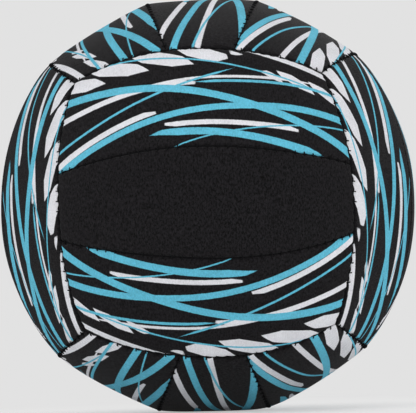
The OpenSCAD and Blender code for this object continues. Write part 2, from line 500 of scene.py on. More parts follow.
def ring(grid):
    """The rim of a grid, once round."""
    return np.concatenate([grid[:-1, 0], grid[-1, :-1], grid[:0:-1, -1], grid[0, :0:-1]])


class Outline:
    """The four seams of a strip: the low and the high one along it, and the two at its ends."""

    def __init__(self, low, high, left, right, end_low, end_high):
        self.low, self.high, self.left, self.right = low, high, left, right
        self.end_low, self.end_high = end_low, end_high

    def at(self, a, b):
        """The point that lies a of the way along the strip and b of the way across it."""
        low = self.low.at((2 * a - 1) * self.low.half)
        high = self.high.at((2 * a - 1) * self.high.half)
        turn = self.end_low + b * (self.end_high - self.end_low)
        left, right = self.left.at(turn), self.right.at(turn)
        a, b = a[..., None], b[..., None]
        straight_left, straight_right = (
            (1 - b) * arc.at(self.end_low) + b * arc.at(self.end_high) for arc in (self.left, self.right)
        )
        flat = (1 - a) * straight_left + a * straight_right
        return (1 - b) * low + b * high + (1 - a) * left + a * right - flat

    def seams(self):
        return self.low, self.high, self.left, self.right

    def front_grid(self, shape):
        """The points of the panel's outside, with fixed steps beside its seams."""
        edge, inner_a = spread(PANEL_COLUMNS, shape.roll)
        _, inner_b = spread(PANEL_ROWS, shape.roll)
        even_a = np.linspace(0, 1, PANEL_COLUMNS + 1)
        even_b = np.linspace(0, 1, PANEL_ROWS + 1)
        ends = np.stack([self.at(np.full_like(even_b, x), even_b) for x in (0, 1)])
        a = shares(edge, inner_a, np.linalg.norm(ends[1] - ends[0], axis=-1) * ARC_SHARE).T
        sides = np.stack([self.at(even_a, np.full_like(even_a, x)) for x in (0, 1)])
        b = shares(edge, inner_b, np.linalg.norm(sides[1] - sides[0], axis=-1))
        return self.at(a, b)

    def back_grid(self, shape):
        """A coarser grid for the back of the panel, set in from the seams by the allowance."""
        middle, ends = np.array([0.5, 0.5]), np.array([0.0, 1.0])
        span, size = self.at(ends, middle), self.at(middle, ends)
        inset_a = shape.allowance_width / np.linalg.norm(span[1] - span[0])
        inset_b = NARROWING * shape.allowance_width / np.linalg.norm(size[1] - size[0])
        a = inset_a + np.linspace(0, 1, PANEL_COLUMNS // BACK_STEP + 1) * (1 - 2 * inset_a)
        b = inset_b + np.linspace(0, 1, PANEL_ROWS // BACK_STEP + 1) * (1 - 2 * inset_b)
        return self.at(*np.meshgrid(a, b, indexing="ij"))


def swell(points):
    """A slow random swell over the ball, mostly between -1 and 1."""
    rng = np.random.default_rng(SWELL_SEED)
    height = np.zeros(points.shape[:-1])
    for _ in range(SWELL_WAVES):
        direction = rng.normal(size=3)
        direction /= np.linalg.norm(direction)
        wavelength = rng.uniform(*SWELL_LENGTHS) * MM
        height += np.sin(points @ direction * 2 * math.pi / wavelength + rng.uniform(0, 2 * math.pi))
    return height / math.sqrt(SWELL_WAVES)


def rolled_off(distance, roll):
    """How far an edge of this radius has dropped at a distance from its seam."""
    left = np.clip(roll - (distance - SEAM_CLEARANCE), 0, roll)
    return roll - np.sqrt(roll**2 - left**2)


def stitch_count(arc, stitches):
    """How many spaces the stitches of a seam leave, and how far its thread reaches from its middle."""
    half = arc.radius * arc.half - stitches.end_gap
    return max(2, round(2 * half / stitches.pitch)), half


def puckers(arc, distance, along, stitches):
    """How deep a seam pulls the cloth in, as a share of the pucker depth."""
    count, half = stitch_count(arc, stitches)
    pitch = 2 * half / count
    wave = 0.5 + 0.5 * np.cos((along + half) / pitch * 2 * math.pi)
    drawn = DRAWN_SHARE * fading(distance, DRAWN_REACH)
    return wave**PUCKER_SHARPNESS * fading(distance, PUCKER_REACH) + drawn


class PanelMesh:
    """A strip of the ball as a closed mesh: outside, rolled edges, turned-in allowances and back."""

    def __init__(self, outline, crown, turn, shape, stitches, number, hole=False):
        self.outline, self.crown, self.turn = outline, crown, np.array(turn)
        self.shape, self.stitches, self.number, self.hole = shape, stitches, number, hole
        self.points, self.faces = [], []

    def outside(self, points):
        """Points on the crown, rolled down at the seams, with the swell and the puckers."""
        shape = self.shape
        directions = points / lengths(points)
        reach = self.crown.reach(directions)
        on_crown = directions * reach[..., None]
        drop = np.zeros(reach.shape)
        pull = np.zeros(reach.shape)
        near = np.full(reach.shape, np.inf)
        for seam in self.outline.seams():
            distance, along = seam.beside(on_crown)
            drop += rolled_off(distance, shape.roll) ** CORNER_POWER
            pull += puckers(seam, distance, along, self.stitches)
            near = np.minimum(near, distance)
        drop = np.minimum(drop ** (1 / CORNER_POWER), shape.roll)
        bulge = (self.number * BULGE_STEP % 1 - 0.5) * 2 * np.clip(near / BULGE_FULL, 0, 1) ** 2
        uneven = swell(on_crown @ self.turn.T) * np.clip(near / SWELL_FULL, 0, 1) + bulge
        reach = reach - drop - shape.pucker * np.minimum(pull, DEEPEST_PULL) + shape.unevenness * uneven
        if self.hole:
            beside = np.hypot(on_crown[..., 0], on_crown[..., 1])
            reach = reach - shape.valve_dimple * fading(beside, DIMPLE_REACH * shape.valve_hole)
        return directions, reach

    def add(self, points):
        """Adds an array of points, and returns their numbers in the same arrangement."""
        first = sum(len(p) for p in self.points)
        self.points.append(points.reshape(-1, 3))
        return first + np.arange(points.size // 3).reshape(points.shape[:-1])

    def add_sheet(self, numbers, left_out=0):
        """Joins a grid of points with four-sided faces, but for the middle cells that are left out."""
        corners = (numbers[:-1, :-1], numbers[1:, :-1], numbers[1:, 1:], numbers[:-1, 1:])
        kept = np.ones(corners[0].shape, bool)
        rows, columns = kept.shape[0] // 2, kept.shape[1] // 2
        kept[rows - left_out:rows + left_out, columns - left_out:columns + left_out] = False
        self.faces += np.stack([c[kept] for c in corners], axis=1).tolist()

    def add_wall(self, upper, lower):
        """Joins two rings of as many points."""
        self.faces += [[upper[i - 1], lower[i - 1], lower[i], upper[i]] for i in range(len(upper))]

    def add_fans(self, fine, coarse):
        """Joins a ring to one with a point for each BACK_STEP of its own."""
        half = BACK_STEP // 2
        for i in range(len(coarse)):
            fan = [fine[(i * BACK_STEP + k) % len(fine)] for k in range(-BACK_STEP, 1)]
            self.faces += [[fan[k + 1], fan[k], coarse[i - 1]] for k in range(half)]
            self.faces.append([coarse[i - 1], coarse[i], fan[half]])
            self.faces += [[fan[k + 1], fan[k], coarse[i]] for k in range(half, BACK_STEP)]

    def build(self):
        """Makes the panel, and returns its points and its faces."""
        shape = self.shape
        hole_radius = shape.valve_hole + HOLE_CHAMFER
        cut = HOLE_CELLS if self.hole else 0
        back_cut = cut // BACK_STEP
        grid, back = self.outline.front_grid(shape), self.outline.back_grid(shape)
        if cut:
            grid, back = opened(grid, cut, hole_radius), opened(back, back_cut, hole_radius)
        directions, reach = self.outside(grid)
        front = self.add(directions * reach[..., None])
        self.add_sheet(front, cut)
        rim = ring(front)
        rim_at = np.concatenate(self.points)[rim]
        rim_directions = rim_at / lengths(rim_at)
        foot_reach = self.crown.reach(rim_directions) - shape.allowance_depth
        foot = self.add(rim_directions * foot_reach[:, None])
        self.add_wall(rim, foot)
        back_directions = back / lengths(back)
        back_reach = self.crown.reach(back_directions)
        inner = self.add(back_directions * (back_reach - shape.skin)[..., None])
        self.add_sheet(inner[:, ::-1], back_cut)
        toe_reach = ring(back_reach) - shape.allowance_depth
        toe = self.add(ring(back_directions) * toe_reach[:, None])
        self.add_wall(toe, ring(inner))
        self.add_fans(foot, toe)
        if cut:
            self.line_hole(ring(middle_block(front, cut)), ring(middle_block(inner, back_cut)))
        return self.used_points()

    def line_hole(self, rim, back):
        """The rounded edge and the wall of the valve's hole, from the outside to the back."""
        rim, back = np.roll(rim[::-1], 1), np.roll(back[::-1], 1)
        at = np.concatenate(self.points)[rim]
        outward = at[:, :2] / lengths(at[:, :2])
        for inset, depth in (*HOLE_ROUNDING, (1.0, self.shape.skin / HOLE_CHAMFER)):
            radius = self.shape.valve_hole + (1 - inset) * HOLE_CHAMFER
            lower = self.add(np.column_stack([outward * radius, at[:, 2] - depth * HOLE_CHAMFER]))
            self.add_wall(rim, lower)
            rim = lower
        self.add_fans(rim, back)

    def used_points(self):
        """The points that the faces use, and the faces with the points' new numbers."""
        points = np.concatenate(self.points)
        used = np.zeros(len(points), bool)
        for face in self.faces:
            used[face] = True
        numbers = np.cumsum(used) - 1
        return points[used], [numbers[face].tolist() for face in self.faces]


def cloth_places(points, crown, tilt, flip):
    """Where each point lies on the flat cloth and how deep below it, in millimetres."""
    c, s = math.cos(tilt), math.sin(tilt)
    side, out = c * points[:, 1] - s * points[:, 2], s * points[:, 1] + c * points[:, 2]
    radius = np.linalg.norm(points, axis=-1)
    along = CLOTH_RADIUS * np.arctan2(points[:, 0], out)
    over = CLOTH_RADIUS * np.arcsin(np.clip(side / radius, -1, 1))
    depth = (crown.reach(points / radius[:, None]) - radius) / MM
    return np.stack([flip * along, over, depth], axis=-1)


def panel_piece(name, outline, crown, turn, tilt, flip, number, material):
    """Makes one panel of the ball, with its places on the flat cloth as an attribute."""
    shape, stitches, _, _ = settings()
    points, faces = PanelMesh(outline, crown, turn, shape, stitches, number, name == VALVE_PANEL).build()
    mesh = new_mesh(name, pulled(points @ np.array(turn).T).tolist(), [], faces)
    places = mesh.attributes.new("cloth", "FLOAT_VECTOR", "POINT")
    places.data.foreach_set("vector", cloth_places(points, crown, tilt, flip).astype(np.float32).ravel())
    mesh.shade_smooth()
    piece = finished(name, mesh, name, material)


# ---- Shader nodes ----


def opaque(colour, gain=1.0):
    """The colour, brighter by this gain, with an alpha of 1."""
    return (*(min(1.0, gain * c) for c in colour), 1.0)


class Shader:
    """Adds nodes to a tree, one call a node, and links what it is given."""

    def __init__(self, tree):
        self.tree = tree

    def put(self, socket, value):
        if isinstance(value, bpy.types.NodeSocket):
            self.tree.links.new(value, socket)
        else:
            socket.default_value = value

    def node(self, kind, inputs=None, **options):
        made = self.tree.nodes.new(kind)
        for name, value in options.items():
            setattr(made, name, value)
        for name, value in (inputs or {}).items():
            self.put(made.inputs[name], value)
        return made

    def group(self, name, inputs):
        """The outputs of a placed shader group."""
        return self.node("ShaderNodeGroup", inputs, node_tree=bpy.data.node_groups[name]).outputs

    def math(self, operation, *values, clamp=False):
        inputs = dict(enumerate(values))
        return self.node("ShaderNodeMath", inputs, operation=operation, use_clamp=clamp).outputs[0]

    def vector(self, operation, *values, **inputs):
        made = self.node("ShaderNodeVectorMath", {**dict(enumerate(values)), **inputs}, operation=operation)
        return made.outputs["Value" if operation == "LENGTH" else "Vector"]

    def mix(self, factor, a, b, blend="MIX"):
        """A mix of two colours, whose sockets are told apart only by their numbers."""
        made = self.node("ShaderNodeMix", data_type="RGBA", blend_type=blend)
        for number, value in ((0, factor), (6, a), (7, b)):
            self.put(made.inputs[number], value)
        return made.outputs[2]

    def split(self, vector):
        return tuple(self.node("ShaderNodeSeparateXYZ", {"Vector": vector}).outputs)

    def noise(self, vector, scale, detail, roughness=0.5):
        """The outputs of a noise texture: a value and a colour."""
        inputs = {"Vector": vector, "Scale": scale, "Detail": detail, "Roughness": roughness}
        return self.node("ShaderNodeTexNoise", inputs).outputs

    def eased(self, value, low, high, at_low, at_high):
        """A value that goes smoothly from one to another over this range."""
        inputs = {"Value": value, "From Min": low, "From Max": high, "To Min": at_low, "To Max": at_high}
        return self.node("ShaderNodeMapRange", inputs, interpolation_type="SMOOTHSTEP").outputs[0]

    def bump(self, height, distance, strength):
        inputs = {"Height": height, "Distance": distance, "Strength": strength}
        return self.node("ShaderNodeBump", inputs).outputs[0]

    def object_place(self):
        return self.node("ShaderNodeTexCoord").outputs["Object"]


def shader_group(name, inputs, outputs):
    """A new shader node group with float inputs and outputs, apart from those named as vectors."""
    tree = bpy.data.node_groups.new(name, "ShaderNodeTree")
    for direction, sockets in (("INPUT", inputs), ("OUTPUT", outputs)):
        for socket, value in sockets.items():
            kind = "NodeSocketVector" if value == "vector" else "NodeSocketFloat"
            made = tree.interface.new_socket(socket, in_out=direction, socket_type=kind)
            if direction == "INPUT" and value != "vector":
                made.default_value = value
    shader = Shader(tree)
    start = shader.node("NodeGroupInput")
    end = shader.node("NodeGroupOutput")
    return shader, start.outputs, end.inputs


def swinging_line(s, start):
    """The parts of a line that swings along the cloth: the place along it, the way off it, its taper."""
    along, over, _ = s.split(start["Cloth"])
    off = s.math("SUBTRACT", along, start["Middle"])
    turn = s.math("DIVIDE", s.math("MULTIPLY", along, 2 * math.pi), start["Wavelength"])
    swing = s.math("MULTIPLY", s.math("SINE", s.math("ADD", turn, start["Phase"])), start["Swing"])
    line = s.math("ADD", start["Height"], s.math("MULTIPLY_ADD", off, start["Slant"], swing))
    side = s.math("SUBTRACT", over, line)
    leaning = s.math("MULTIPLY_ADD", side, start["Lean"], off)
    share = s.math("DIVIDE", off if "Pitch" in start else leaning, start["Reach"])
    taper = s.math("SUBTRACT", 1.0, s.math("MULTIPLY", share, share))
    return leaning, side, s.math("MULTIPLY", taper, start["Bluntness"], clamp=True)


def printed_edge(s, width, side):
    """1 within this width of a line, and 0 beyond, with the slightly soft edge of printed cloth."""
    soft = 0.3
    return s.math("DIVIDE", s.math("SUBTRACT", width, s.math("ABSOLUTE", side)), soft, clamp=True)


# What describes a ribbon or a row of leaves on the cloth, with lengths in millimetres
LINE_INPUTS = {
    "Cloth": "vector", "Middle": 0.0, "Reach": 60.0, "Height": 0.0, "Slant": 0.0,
    "Swing": 8.0, "Wavelength": 140.0, "Phase": 0.0, "Half Width": 3.0, "Bluntness": 3.0, "Lean": 0.0,
}


def make_ribbon_group():
    """A ribbon with slanted ends that swings along the cloth. Its mask is 1 on the ribbon."""
    s, start, end = shader_group("ribbon", LINE_INPUTS, {"Mask": 0.0})
    _, side, taper = swinging_line(s, start)
    s.put(end["Mask"], printed_edge(s, s.math("MULTIPLY", taper, start["Half Width"]), side))


def make_leaf_group():
    """A row of leaning leaves along a swinging line. Its mask is 1 on a leaf."""
    s, start, end = shader_group("leaf_row", {**LINE_INPUTS, "Pitch": 12.0, "Fill": 0.8}, {"Mask": 0.0})
    leaning, side, taper = swinging_line(s, start)
    cell = s.math("SUBTRACT", s.math("FRACT", s.math("DIVIDE", leaning, start["Pitch"])), 0.5)
    place = s.math("DIVIDE", s.math("MULTIPLY", cell, 2.0), start["Fill"])
    leaf_bluntness = 1.4
    leaf = s.math("SUBTRACT", 1.0, s.math("MULTIPLY", place, place))
    leaf = s.math("MULTIPLY", leaf, leaf_bluntness, clamp=True)
    width = s.math("MULTIPLY", s.math("MULTIPLY", taper, leaf), start["Half Width"])
    s.put(end["Mask"], printed_edge(s, width, side))


def make_knit_group():
    """Fine jersey: columns of small slanted loops. Height is 0 in the gaps and 1 on the yarn."""
    loop_fullness, leg_share, painted_gap_shade, painted_yarn_light = 0.7, 0.55, 0.66, 0.6
    inputs = {"Cloth": "vector", "Wale": 0.8, "Course": 0.62}
    s, start, end = shader_group("knit", inputs, {"Height": 0.0, "Shade": 0.0})
    along, over, _ = s.split(start["Cloth"])
    column = s.math("SUBTRACT", s.math("FRACT", s.math("DIVIDE", along, start["Wale"])), 0.5)
    side = s.math("ABSOLUTE", column)
    row = s.math("ADD", s.math("DIVIDE", over, start["Course"]), side)
    loop = s.math("SINE", s.math("MULTIPLY", s.math("FRACT", row), math.pi))
    loop = s.math("POWER", s.math("ABSOLUTE", loop), loop_fullness)
    leg = s.math("SINE", s.math("MULTIPLY", s.math("MULTIPLY", side, 2.0), math.pi))
    yarn = s.math("MULTIPLY", loop, s.math("MULTIPLY_ADD", leg, leg_share, 1 - leg_share))
    s.put(end["Height"], yarn)
    # Painted shade and light: the colour is darker in the gaps between the loops and lighter on the yarn
    s.put(end["Shade"], s.math("MULTIPLY_ADD", yarn, painted_yarn_light, painted_gap_shade))


def make_lint_group():
    """Mottling of a matt cloth: slow patches, and a fine grain drawn out along the knit's columns."""
    darkest = 0.15
    inputs = {"Cloth": "vector", "Patches": 0.25, "Grain": 0.7}
    s, start, end = shader_group("lint", inputs, {"Shade": 0.0})
    drawn_out = s.vector("MULTIPLY", start["Cloth"], (1.3, 0.7, 1.0))
    slow = s.noise(start["Cloth"], scale=0.06, detail=3.0)[0]
    fine = s.noise(drawn_out, scale=0.9, detail=3.0, roughness=0.8)[0]
    slow_off = s.math("MULTIPLY", s.math("SUBTRACT", slow, 0.5), start["Patches"])
    fine_off = s.math("MULTIPLY", s.math("SUBTRACT", fine, 0.5), start["Grain"])
    s.put(end["Shade"], s.math("MAXIMUM", s.math("ADD", 1.0, s.math("ADD", slow_off, fine_off)), darkest))


def make_groups():
    """The shader groups, once."""
    if "ribbon" not in bpy.data.node_groups:
        make_ribbon_group()
        make_leaf_group()
        make_knit_group()
        make_lint_group()


# ---- The print, in millimetres on the flat cloth ----

# Ribbons: middle, reach, height, slant, swing, wavelength, phase, half width, bluntness, lean
BLUE_RIBBONS = [
    (-4, 92, -15, 0.07, 8, 300, 1.0, 1.9, 4.0, 1.0),
    (0, 96, -6, -0.16, 8, 330, 1.8, 2.2, 4.0, -1.5),
    (46, 50, 4, -0.02, 5, 260, 0.6, 0.9, 3.0, -2.0),
    (-42, 60, -2, 0.27, 4, 240, 0.2, 0.8, 3.0, 2.0),
    (22, 48, -24, -0.02, 3, 200, 1.6, 2.1, 2.5, 2.0),
    (-10, 84, 16, -0.13, 6, 280, 1.6, 0.6, 2.0, 0.0),
    (36, 60, -20, 0.24, 5, 260, 1.1, 0.55, 2.0, 0.0),
]
WHITE_RIBBONS = [
    (-44, 42, 2, 0.00, 6, 260, 1.3, 1.6, 6.0, 2.0),
    (-56, 34, -16.5, 0.16, 4, 260, 1.4, 1.7, 6.0, 2.0),
    (50, 34, 22, -0.16, 4, 240, 2.0, 1.7, 6.0, 2.0),
    (8, 56, 4, 0.10, 7, 300, 1.6, 0.9, 2.0, 1.0),
    (16, 34, -18, 0.04, 3, 300, 1.6, 1.5, 6.0, 2.0),
]
# Rows of leaves: as ribbons, and then pitch and fill
WHITE_LEAVES = [
    (-30, 52, 18, 0.06, 4, 280, 1.6, 5.6, 1.8, 1.9, 22, 0.9),
    (58, 28, 8, -0.16, 3, 200, 1.0, 3.2, 1.8, 2.0, 17, 0.88),
]
# How far the blue ribbons are moved across a centre strip
CENTRE_SHIFT = 12

# The outer strips have the whole print, and the centre strips a part of it
ClothPrint = namedtuple("ClothPrint", "blue white leaves")
OUTER_PRINT = ClothPrint(BLUE_RIBBONS, WHITE_RIBBONS, WHITE_LEAVES)
CENTRE_PRINT = ClothPrint(
    [(*values[:2], values[2] + CENTRE_SHIFT, *values[3:]) for values in BLUE_RIBBONS[:5]],
    WHITE_RIBBONS[:3], WHITE_LEAVES[1:],
)

# How strong the grain is on the plain cloth and on each colour of the print
PLAIN_GRAIN, BLUE_GRAIN, WHITE_GRAIN = 6.4, 1.0, 0.5


def printed_mask(s, cloth, ribbons, leaves=()):
    """The largest of the masks of these ribbons and rows of leaves."""
    names = [name for name in LINE_INPUTS if name != "Cloth"] + ["Pitch", "Fill"]
    masks = [
        s.group(group, {"Cloth": cloth, **dict(zip(names, values))})["Mask"]
        for group, rows in (("ribbon", ribbons), ("leaf_row", leaves))
        for values in rows
    ]
    mask = masks[0]
    for other in masks[1:]:
        mask = s.math("MAXIMUM", mask, other)
    return mask


# ---- Materials ----

# The finish of cloth and of thread
CLOTH_FINISH = {"Roughness": 0.9, "Specular IOR Level": 0.08, "Sheen Weight": 0.026, "Sheen Roughness": 0.5}
THREAD_FINISH = {"Roughness": 0.8, "Specular IOR Level": 0.1}


def new_material(name, finish=None):
    """A material of this finish, with its shader helper and the inputs of its Principled BSDF."""
    material = bpy.data.materials.new(name)
    material.use_nodes = True
    material.node_tree.nodes.clear()
    s = Shader(material.node_tree)
    bsdf = s.node("ShaderNodeBsdfPrincipled", finish)
    s.node("ShaderNodeOutputMaterial", {"Surface": bsdf.outputs[0]})
    return material, s, bsdf.inputs


def printed(s, cloth, cloth_print, colours):
    """The colour of the printed cloth, and how strong its grain is."""
    bleed = 0.25
    wander = s.noise(cloth, scale=0.9, detail=1.0)["Color"]
    offset = s.vector("SCALE", s.vector("SUBTRACT", wander, (0.5, 0.5, 0.5)), Scale=bleed)
    inked = s.vector("ADD", cloth, offset)
    white = printed_mask(s, inked, cloth_print.white, cloth_print.leaves)
    blue = printed_mask(s, inked, cloth_print.blue)
    colour = s.mix(white, opaque(colours.cloth), opaque(colours.white))
    grain = s.math("MULTIPLY_ADD", white, WHITE_GRAIN - PLAIN_GRAIN, PLAIN_GRAIN)
    grain = s.math("MULTIPLY_ADD", blue, s.math("SUBTRACT", BLUE_GRAIN, grain), grain)
    return s.mix(blue, colour, opaque(colours.blue)), grain


def lay_cloth(s, bsdf, colour, shades, height):
    """The cloth's colour under its shades, with its loops raised."""
    shade = shades[0]
    for other in shades[1:]:
        shade = s.math("MULTIPLY", shade, other)
    s.put(bsdf["Base Color"], s.mix(1.0, colour, shade, "MULTIPLY"))
    s.put(bsdf["Normal"], s.bump(height, distance=0.2 * MM, strength=0.8))


def cloth_material(name, colours, cloth_print=None):
    """Matt knitted cloth on foam rubber, plain or printed, with painted shade down in the seams."""
    painted_shade_from, painted_shade_full_at, darkest = 0.75, 1.6, 0.25
    material, s, bsdf = new_material(name, CLOTH_FINISH)
    cloth = s.node("ShaderNodeAttribute", attribute_name="cloth").outputs["Vector"]
    colour, grain = opaque(colours.cloth), PLAIN_GRAIN
    if cloth_print:
        colour, grain = printed(s, cloth, cloth_print, colours)
    knit = s.group("knit", {"Cloth": cloth})
    lint = s.group("lint", {"Cloth": cloth, "Grain": grain})
    # Painted shade: the deeper the cloth lies below its crown, down in a seam, the darker its colour
    _, _, depth = s.split(cloth)
    painted_seam_shade = s.eased(depth, painted_shade_from, painted_shade_full_at, 1.0, darkest)
    lay_cloth(s, bsdf, colour, (knit["Shade"], lint["Shade"], painted_seam_shade), knit["Height"])
    return material


def patch_material():
    """Coarse backing cloth, laid flat inside the ball."""
    material, s, bsdf = new_material("patch_cloth", CLOTH_FINISH)
    upright = {"Vector": s.object_place(), "Rotation": (math.radians(90), 0, 0), "Scale": [1 / MM] * 3}
    turned = s.node("ShaderNodeMapping", upright).outputs[0]
    knit = s.group("knit", {"Cloth": turned, "Wale": 1.1, "Course": 0.9})
    lint = s.group("lint", {"Cloth": turned, "Grain": 0.7})
    ecru = (0.09, 0.085, 0.075, 1.0)
    lay_cloth(s, bsdf, ecru, (knit["Shade"], lint["Shade"]), knit["Height"])
    return material


def thread_material(colours):
    """Twisted polyester thread, with painted highlights where its twist stands up."""
    material, s, bsdf = new_material("sewing_thread", THREAD_FINISH)
    twist = s.noise(s.object_place(), scale=3200.0, detail=1.0)[0]
    # Painted highlight: the colour is paler where the twist stands up in the bump
    s.put(bsdf["Base Color"], s.mix(twist, opaque(colours.thread), opaque(colours.thread, gain=2.4)))
    s.put(bsdf["Normal"], s.bump(twist, distance=0.1 * MM, strength=0.7))
    return material


def rubber_material(name, colour, roughness):
    """Moulded rubber, with a fine dull bloom that changes its roughness."""
    change = 0.2
    material, s, bsdf = new_material(name)
    place = s.object_place()
    bloom = s.noise(place, scale=260.0, detail=4.0)[0]
    grain = s.noise(place, scale=2600.0, detail=1.0)[0]
    s.put(bsdf["Base Color"], s.mix(bloom, opaque(colour), opaque(colour, gain=1.9)))
    s.put(bsdf["Roughness"], s.math("MULTIPLY_ADD", bloom, change, roughness - change / 2))
    s.put(bsdf["Normal"], s.bump(grain, distance=0.06 * MM, strength=0.5))
    return material


# ---- The panels of each face ----


class CentrePanels(bpy.types.Operator):
    """Makes the centre strip of each face"""

    bl_idname = "sewn_ball.centre_panels"
    bl_label = "Centre Panels"

    def execute(self, context):
        shape, _, colours, _ = settings()
        make_groups()
        layout = Layout(shape)
        outline = Outline(
            layout.low_strip_seam, layout.strip_seam, layout.far_end_edge, layout.end_edge,
            -layout.strip_end_angle, layout.strip_end_angle,
        )
        plain = cloth_material("plain_cloth", colours)
        patterned = cloth_material("printed_centre_cloth", colours, CENTRE_PRINT)
        for number, face in enumerate(FACES):
            material = plain if face in ("front", "back") else patterned
            panel_piece(
                f"{face}_centre_panel", outline, layout.centre_crown, FACE_TURNS[face], 0,
                PRINT_FLIPS[face], number, material,
            )
        return {"FINISHED"}


class OuterPanels(bpy.types.Operator):
    """Makes the two outer strips of each face"""

    bl_idname = "sewn_ball.outer_panels"
    bl_label = "Outer Panels"

    def execute(self, context):
        shape, _, colours, _ = settings()
        make_groups()
        layout = Layout(shape)
        outline = Outline(
            layout.strip_seam, layout.long_edge, layout.far_end_edge, layout.end_edge,
            layout.strip_end_angle, layout.end_edge.half,
        )
        patterned = cloth_material("printed_cloth", colours, OUTER_PRINT)
        number = len(FACES)
        for face, sides in FACES.items():
            for side, turn in zip(sides, (Matrix.Identity(3), HALF_TURN)):
                panel_piece(
                    f"{face}_{side}_panel", outline, layout.outer_crown, FACE_TURNS[face] @ turn,
                    layout.outer_angle, PRINT_FLIPS[face], number, patterned,
                )
                number += 1
        return {"FINISHED"}


# ---- Stitches ----

# The inputs of the sewing nodes, with their kinds and defaults
STITCH_INPUTS = {
    "Seams": ("Geometry", None),
    "Stitches": ("Int", 30),
    "Thread Radius": ("Float", 0.3 * MM),
    "Reach": ("Float", 1.3 * MM),
    "Cord Radius": ("Float", 0.4 * MM),
    "Cord Depth": ("Float", 0.7 * MM),
    "Cord Dip": ("Float", 0.8 * MM),
    "Stitch Depth": ("Float", 0.8 * MM),
    "Arch": ("Float", 0.6 * MM),
    "Seed": ("Int", 1),
    "Thread": ("Material", None),
}
# Sides of a thread, steps of a stitch, and steps of a seam's line from one stitch to the next
THREAD_SIDES = 8
STITCH_STEPS = 8
LINE_STEPS = 8
# The cord lies highest this share of a space past each stitch
CORD_LAG = 0.25
# How far a stitch may lean either way, in radians, and its smallest and largest size
LEAN = 0.16
SMALLEST, LARGEST = 0.88, 1.1


def stitch_tree():
    """Geometry nodes that sew along the curves they are given, round the middle of the ball."""
    tree = bpy.data.node_groups.new("seam_stitches", "GeometryNodeTree")
    for name, (kind, value) in STITCH_INPUTS.items():
        made = tree.interface.new_socket(name, in_out="INPUT", socket_type=f"NodeSocket{kind}")
        if value is not None:
            made.default_value = value
    tree.interface.new_socket("Thread", in_out="OUTPUT", socket_type="NodeSocketGeometry")
    s = Shader(tree)
    start = s.node("NodeGroupInput").outputs
    end = s.node("NodeGroupOutput").inputs

    def tube(curve, radius):
        circle = s.node("GeometryNodeCurvePrimitiveCircle", {"Resolution": THREAD_SIDES, "Radius": radius})
        inputs = {"Curve": curve, "Profile Curve": circle.outputs[0], "Fill Caps": True}
        return s.node("GeometryNodeCurveToMesh", inputs).outputs[0]

    def place(**parts):
        return s.node("ShaderNodeCombineXYZ", parts).outputs[0]

    def varied(low, high):
        """A random number for each stitch. Its range has the sockets 2 and 3."""
        inputs = {2: low, 3: high, "Seed": start["Seed"]}
        return s.node("FunctionNodeRandomValue", inputs, data_type="FLOAT").outputs[1]

    # The cord along the seam, which comes up beside each stitch
    outward = s.vector("NORMALIZE", s.node("GeometryNodeInputPosition").outputs[0])
    curves = s.node("GeometryNodeMeshToCurve", {"Mesh": start["Seams"]}).outputs[0]
    spaces = s.math("SUBTRACT", start["Stitches"], 1.0)
    along = s.math("MULTIPLY", s.node("GeometryNodeSplineParameter").outputs["Factor"], spaces)
    turns = s.math("MULTIPLY", s.math("SUBTRACT", along, CORD_LAG), 2 * math.pi)
    dip = s.math("MULTIPLY_ADD", s.math("COSINE", turns), -0.5, 0.5)
    sunk = s.math("MULTIPLY", s.math("MULTIPLY_ADD", dip, start["Cord Dip"], start["Cord Depth"]), -1.0)
    offset = s.vector("SCALE", outward, Scale=sunk)
    cord = s.node("GeometryNodeSetPosition", {"Geometry": curves, "Offset": offset}).outputs[0]
    cord = tube(cord, start["Cord Radius"])

    # One stitch, arched over the seam
    low = s.math("MULTIPLY", start["Stitch Depth"], -1.0)
    high = s.math("MULTIPLY_ADD", start["Arch"], 2.0, low)
    left = s.math("MULTIPLY", start["Reach"], -1.0)
    ends = {"Start": place(Y=left, Z=low), "Middle": place(Z=high), "End": place(Y=start["Reach"], Z=low)}
    arch = s.node("GeometryNodeCurveQuadraticBezier", {"Resolution": STITCH_STEPS, **ends}).outputs[0]
    stitch = tube(arch, start["Thread Radius"])

    # A stitch at each place along the seam, across it and leaning a little
    points = s.node("GeometryNodeCurveToPoints", {"Curve": curves, "Count": start["Stitches"]}, mode="COUNT")
    turned = s.node(
        "FunctionNodeAxesToRotation",
        {"Primary Axis": outward, "Secondary Axis": points.outputs["Tangent"]},
        primary_axis="Z", secondary_axis="X",
    )
    turned = s.node(
        "FunctionNodeRotateRotation",
        {"Rotation": turned.outputs[0], "Rotate By": place(Z=varied(-LEAN, LEAN))},
        rotation_space="LOCAL",
    )
    placed = s.node(
        "GeometryNodeInstanceOnPoints",
        {"Points": points.outputs[0], "Instance": stitch, "Rotation": turned.outputs[0],
         "Scale": varied(SMALLEST, LARGEST)},
    )
    joined = s.node("GeometryNodeJoinGeometry")
    s.put(joined.inputs[0], cord)
    s.put(joined.inputs[0], placed.outputs[0])
    smooth = s.node("GeometryNodeSetShadeSmooth", {"Geometry": joined.outputs[0]})
    real = s.node("GeometryNodeRealizeInstances", {"Geometry": smooth.outputs[0]})
    sewn = s.node("GeometryNodeSetMaterial", {"Geometry": real.outputs[0], "Material": start["Thread"]})
    s.put(end["Thread"], sewn.outputs[0])
    return tree


def seam_lines(name, arcs, turn, stitches):
    """The lines that two seams follow, as a mesh of edges, and how many stitches each takes."""
    count, half = stitch_count(arcs[0], stitches)
    steps = LINE_STEPS * count
    points, edges = [], []
    for arc in arcs:
        reach = half / arc.radius
        line = pulled(arc.at(np.linspace(-reach, reach, steps + 1)) @ np.array(turn).T)
        edges += [(len(points) + i, len(points) + i + 1) for i in range(steps)]
        points += line.tolist()
    return new_mesh(name, points, edges, []), count + 1


def evaluated_mesh(piece, name):
    """The piece's shape with its modifiers, as a plain mesh."""
    graph = bpy.context.evaluated_depsgraph_get()
    mesh = bpy.data.meshes.new_from_object(piece.evaluated_get(graph))
    mesh.name = name
    return mesh


